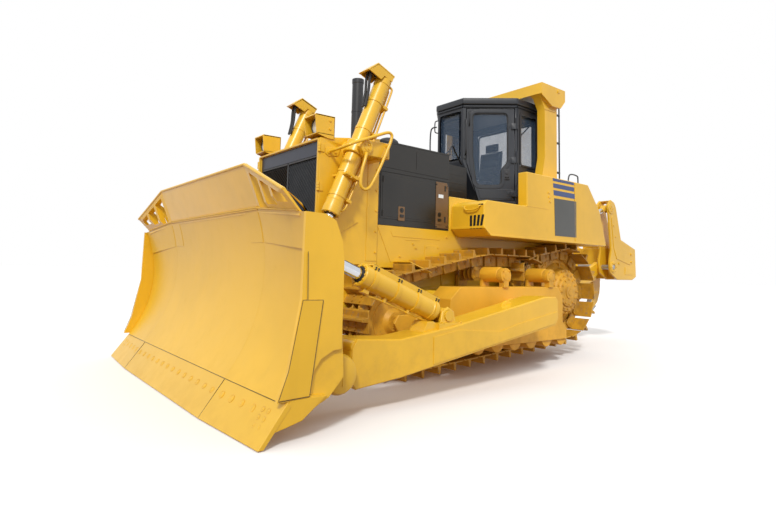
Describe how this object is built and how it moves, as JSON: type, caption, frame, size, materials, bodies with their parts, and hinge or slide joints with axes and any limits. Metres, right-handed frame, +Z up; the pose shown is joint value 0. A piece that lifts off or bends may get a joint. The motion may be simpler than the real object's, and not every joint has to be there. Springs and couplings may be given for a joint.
{
  "type": "crawler bulldozer with semi-u blade and single-shank ripper",
  "caption": "Large track-type bulldozer with a semi-U blade on push arms, closed cab with roll-over frame, and a parallelogram ripper; blade, ripper and cab doors move.",
  "frame": {"origin": "on the ground under the centre of the bounding box of the whole machine, ripper raised and blade lowered, its cutting edge 5 mm above the ground", "axes": "+X forward towards the blade, +Y to the left of the operator, +Z up"},
  "size_m": [8.435, 4.3, 3.985],
  "materials": {
    "yellow_paint": "semi-gloss yellow enamel, freshly sprayed",
    "undercarriage_paint": "the same yellow enamel sprayed over worn cast and forged steel",
    "edge_steel": "yellow enamel over hardened steel edges",
    "charcoal_panel": "satin charcoal enamel on sheet steel",
    "grille_black": "satin black louvres",
    "stack_black": "heat-resistant satin black",
    "cab_grey": "satin slate-grey enamel",
    "cab_glass": "blue-grey tinted safety glass",
    "seat_cloth": "dark grey woven cloth",
    "chrome_rod": "hard chrome, polished"
  },
  "bodies": {
    "chassis": {"main_frame": "yellow_paint", "engine_block": "undercarriage_paint", "radiator_guard": "yellow_paint", "grille": "grille_black", "hood": "charcoal_panel", "exhaust_stack": "stack_black", "precleaner": "stack_black", "fuel_tank": "yellow_paint", "rops": "yellow_paint", "cab_shell": "cab_grey", "cab_roof": "cab_grey", "operator_seat": "seat_cloth", "windscreen": "cab_glass", "rear_window": "cab_glass", "track_left": "undercarriage_paint", "track_right": "undercarriage_paint", "sprocket_left": "undercarriage_paint", "sprocket_right": "undercarriage_paint", "idler_left": "undercarriage_paint", "idler_right": "undercarriage_paint", "track_frame_left": "undercarriage_paint", "track_frame_right": "undercarriage_paint", "engine_cover_left": "charcoal_panel", "engine_cover_right": "charcoal_panel", "headlamp_left": "yellow_paint", "headlamp_right": "yellow_paint", "fender_left": "yellow_paint", "fender_right": "yellow_paint", "side_window_left": "cab_glass", "side_window_right": "cab_glass"},
    "blade_arms": {"push_arm_left": "yellow_paint", "push_arm_right": "yellow_paint"},
    "blade": {"blade": "yellow_paint", "cutting_edge": "edge_steel", "end_bit_left": "edge_steel", "end_bit_right": "edge_steel"},
    "ripper_arm": {"ripper_arm": "yellow_paint"},
    "ripper_pin": {"ripper_pin": "edge_steel"},
    "ripper_beam": {"ripper_beam": "yellow_paint", "ripper_shank": "yellow_paint"},
    "door_left": {"door_left": "cab_grey", "door_window_left": "cab_glass"},
    "lift_barrel_left": {"lift_barrel_left": "yellow_paint"},
    "lift_rod_left": {"lift_rod_left": "chrome_rod"},
    "tilt_barrel_left": {"tilt_barrel_left": "yellow_paint"},
    "tilt_rod_left": {"tilt_rod_left": "chrome_rod"},
    "ripper_lift_barrel_left": {"ripper_lift_barrel_left": "yellow_paint"},
    "ripper_lift_rod_left": {"ripper_lift_rod_left": "chrome_rod"},
    "ripper_tilt_barrel_left": {"ripper_tilt_barrel_left": "yellow_paint"},
    "ripper_tilt_rod_left": {"ripper_tilt_rod_left": "chrome_rod"},
    "door_right": {"door_right": "cab_grey", "door_window_right": "cab_glass"},
    "lift_barrel_right": {"lift_barrel_right": "yellow_paint"},
    "lift_rod_right": {"lift_rod_right": "chrome_rod"},
    "tilt_barrel_right": {"tilt_barrel_right": "yellow_paint"},
    "tilt_rod_right": {"tilt_rod_right": "chrome_rod"},
    "ripper_lift_barrel_right": {"ripper_lift_barrel_right": "yellow_paint"},
    "ripper_lift_rod_right": {"ripper_lift_rod_right": "chrome_rod"},
    "ripper_tilt_barrel_right": {"ripper_tilt_barrel_right": "yellow_paint"},
    "ripper_tilt_rod_right": {"ripper_tilt_rod_right": "chrome_rod"}
  },
  "joints": [
    {"name": "blade_lift", "type": "hinge", "parent": "chassis", "child": "blade_arms", "pos_m": [0.4175, 0, 0.775], "axis": [0, -1, 0], "range_deg": [-8.5, 19]},
    {"name": "blade_pitch", "type": "hinge", "parent": "blade_arms", "child": "blade", "pos_m": [3.3275, 0, 0.36], "axis": [0, 1, 0], "range_deg": [-5, 5]},
    {"name": "ripper_lift", "type": "hinge", "parent": "chassis", "child": "ripper_arm", "pos_m": [-2.2225, 0, 0.95], "axis": [0, 1, 0], "range_deg": [-52, 0]},
    {"name": "ripper_level", "type": "hinge", "parent": "ripper_arm", "child": "ripper_pin", "pos_m": [-3.3725, 0, 1.35], "axis": [0, 1, 0], "range_deg": [-0.5, 52.5]},
    {"name": "ripper_tilt", "type": "hinge", "parent": "ripper_pin", "child": "ripper_beam", "pos_m": [-3.3725, 0, 1.35], "axis": [0, 1, 0], "range_deg": [-12, 15]},
    {"name": "lift_barrel_left", "type": "hinge", "parent": "chassis", "child": "lift_barrel_left", "pos_m": [2.5115, 0.84, 2.5], "axis": [0, -1, 0], "range_deg": [-5.51, 11.94]},
    {"name": "lift_rod_left", "type": "slide", "parent": "lift_barrel_left", "child": "lift_rod_left", "axis": [0.3859, 0, -0.9225], "range_m": [-0.8796, 0.3957]},
    {"name": "tilt_barrel_left", "type": "hinge", "parent": "blade_arms", "child": "tilt_barrel_left", "pos_m": [2.0275, 1.7, 0.78], "axis": [0, -1, 0], "range_deg": [-1.95, 1.95]},
    {"name": "tilt_rod_left", "type": "slide", "parent": "tilt_barrel_left", "child": "tilt_rod_left", "axis": [0.9354, 0, 0.3537], "range_m": [-0.0784, 0.0784]},
    {"name": "ripper_lift_barrel_left", "type": "hinge", "parent": "chassis", "child": "ripper_lift_barrel_left", "pos_m": [-2.2225, 0.13, 1.7], "axis": [0, -1, 0], "range_deg": [0, 32.33]},
    {"name": "ripper_lift_rod_left", "type": "slide", "parent": "ripper_lift_barrel_left", "child": "ripper_lift_rod_left", "axis": [-0.8986, 0, -0.4388], "range_m": [-0.004, 0.5229]},
    {"name": "ripper_tilt_barrel_left", "type": "hinge", "parent": "chassis", "child": "ripper_tilt_barrel_left", "pos_m": [-2.1725, 0.52, 2], "axis": [0, 1, 0], "range_deg": [-52.5, 0.5]},
    {"name": "ripper_tilt_rod_left", "type": "slide", "parent": "ripper_tilt_barrel_left", "child": "ripper_tilt_rod_left", "axis": [-0.9445, 0, 0.3285], "range_m": [-0.2695, 0.2164]},
    {"name": "door_left", "type": "hinge", "parent": "chassis", "child": "door_left", "pos_m": [-0.3805, 0.79612, 2.87], "axis": [0, 0, 1], "range_deg": [0, 75]},
    {"name": "lift_barrel_right", "type": "hinge", "parent": "chassis", "child": "lift_barrel_right", "pos_m": [2.5115, -0.84, 2.5], "axis": [0, -1, 0], "range_deg": [-5.51, 11.94]},
    {"name": "lift_rod_right", "type": "slide", "parent": "lift_barrel_right", "child": "lift_rod_right", "axis": [0.3859, 0, -0.9225], "range_m": [-0.8796, 0.3957]},
    {"name": "tilt_barrel_right", "type": "hinge", "parent": "blade_arms", "child": "tilt_barrel_right", "pos_m": [2.0275, -1.7, 0.78], "axis": [0, -1, 0], "range_deg": [-1.95, 1.95]},
    {"name": "tilt_rod_right", "type": "slide", "parent": "tilt_barrel_right", "child": "tilt_rod_right", "axis": [0.9354, 0, 0.3537], "range_m": [-0.0784, 0.0784]},
    {"name": "ripper_lift_barrel_right", "type": "hinge", "parent": "chassis", "child": "ripper_lift_barrel_right", "pos_m": [-2.2225, -0.13, 1.7], "axis": [0, -1, 0], "range_deg": [0, 32.33]},
    {"name": "ripper_lift_rod_right", "type": "slide", "parent": "ripper_lift_barrel_right", "child": "ripper_lift_rod_right", "axis": [-0.8986, 0, -0.4388], "range_m": [-0.004, 0.5229]},
    {"name": "ripper_tilt_barrel_right", "type": "hinge", "parent": "chassis", "child": "ripper_tilt_barrel_right", "pos_m": [-2.1725, -0.52, 2], "axis": [0, 1, 0], "range_deg": [-52.5, 0.5]},
    {"name": "ripper_tilt_rod_right", "type": "slide", "parent": "ripper_tilt_barrel_right", "child": "ripper_tilt_rod_right", "axis": [-0.9445, 0, 0.3285], "range_m": [-0.2695, 0.2164]},
    {"name": "door_right", "type": "hinge", "parent": "chassis", "child": "door_right", "pos_m": [-0.3805, -0.79612, 2.87], "axis": [0, 0, -1], "range_deg": [0, 75]}
  ],
  "couplings": [
    {"joint": "ripper_level", "follows": "ripper_lift", "ratio": -1},
    {"joint": "lift_barrel_left", "follows": "blade_lift", "ratio": 0.61238},
    {"joint": "lift_rod_left", "follows": "blade_lift", "m_per_rad": -2.6403},
    {"joint": "tilt_barrel_left", "follows": "blade_pitch", "ratio": -0.32957},
    {"joint": "tilt_rod_left", "follows": "blade_pitch", "m_per_rad": 0.85255},
    {"joint": "ripper_lift_barrel_left", "follows": "ripper_lift", "ratio": -0.61599},
    {"joint": "ripper_lift_rod_left", "follows": "ripper_lift", "m_per_rad": -0.57177},
    {"joint": "ripper_tilt_barrel_left", "follows": "ripper_lift", "ratio": 1},
    {"joint": "ripper_tilt_rod_left", "follows": "ripper_tilt", "m_per_rad": -1.014},
    {"joint": "lift_barrel_right", "follows": "blade_lift", "ratio": 0.61238},
    {"joint": "lift_rod_right", "follows": "blade_lift", "m_per_rad": -2.6403},
    {"joint": "tilt_barrel_right", "follows": "blade_pitch", "ratio": -0.32957},
    {"joint": "tilt_rod_right", "follows": "blade_pitch", "m_per_rad": 0.85255},
    {"joint": "ripper_lift_barrel_right", "follows": "ripper_lift", "ratio": -0.61599},
    {"joint": "ripper_lift_rod_right", "follows": "ripper_lift", "m_per_rad": -0.57177},
    {"joint": "ripper_tilt_barrel_right", "follows": "ripper_lift", "ratio": 1},
    {"joint": "ripper_tilt_rod_right", "follows": "ripper_tilt", "m_per_rad": -1.014}
  ]
}
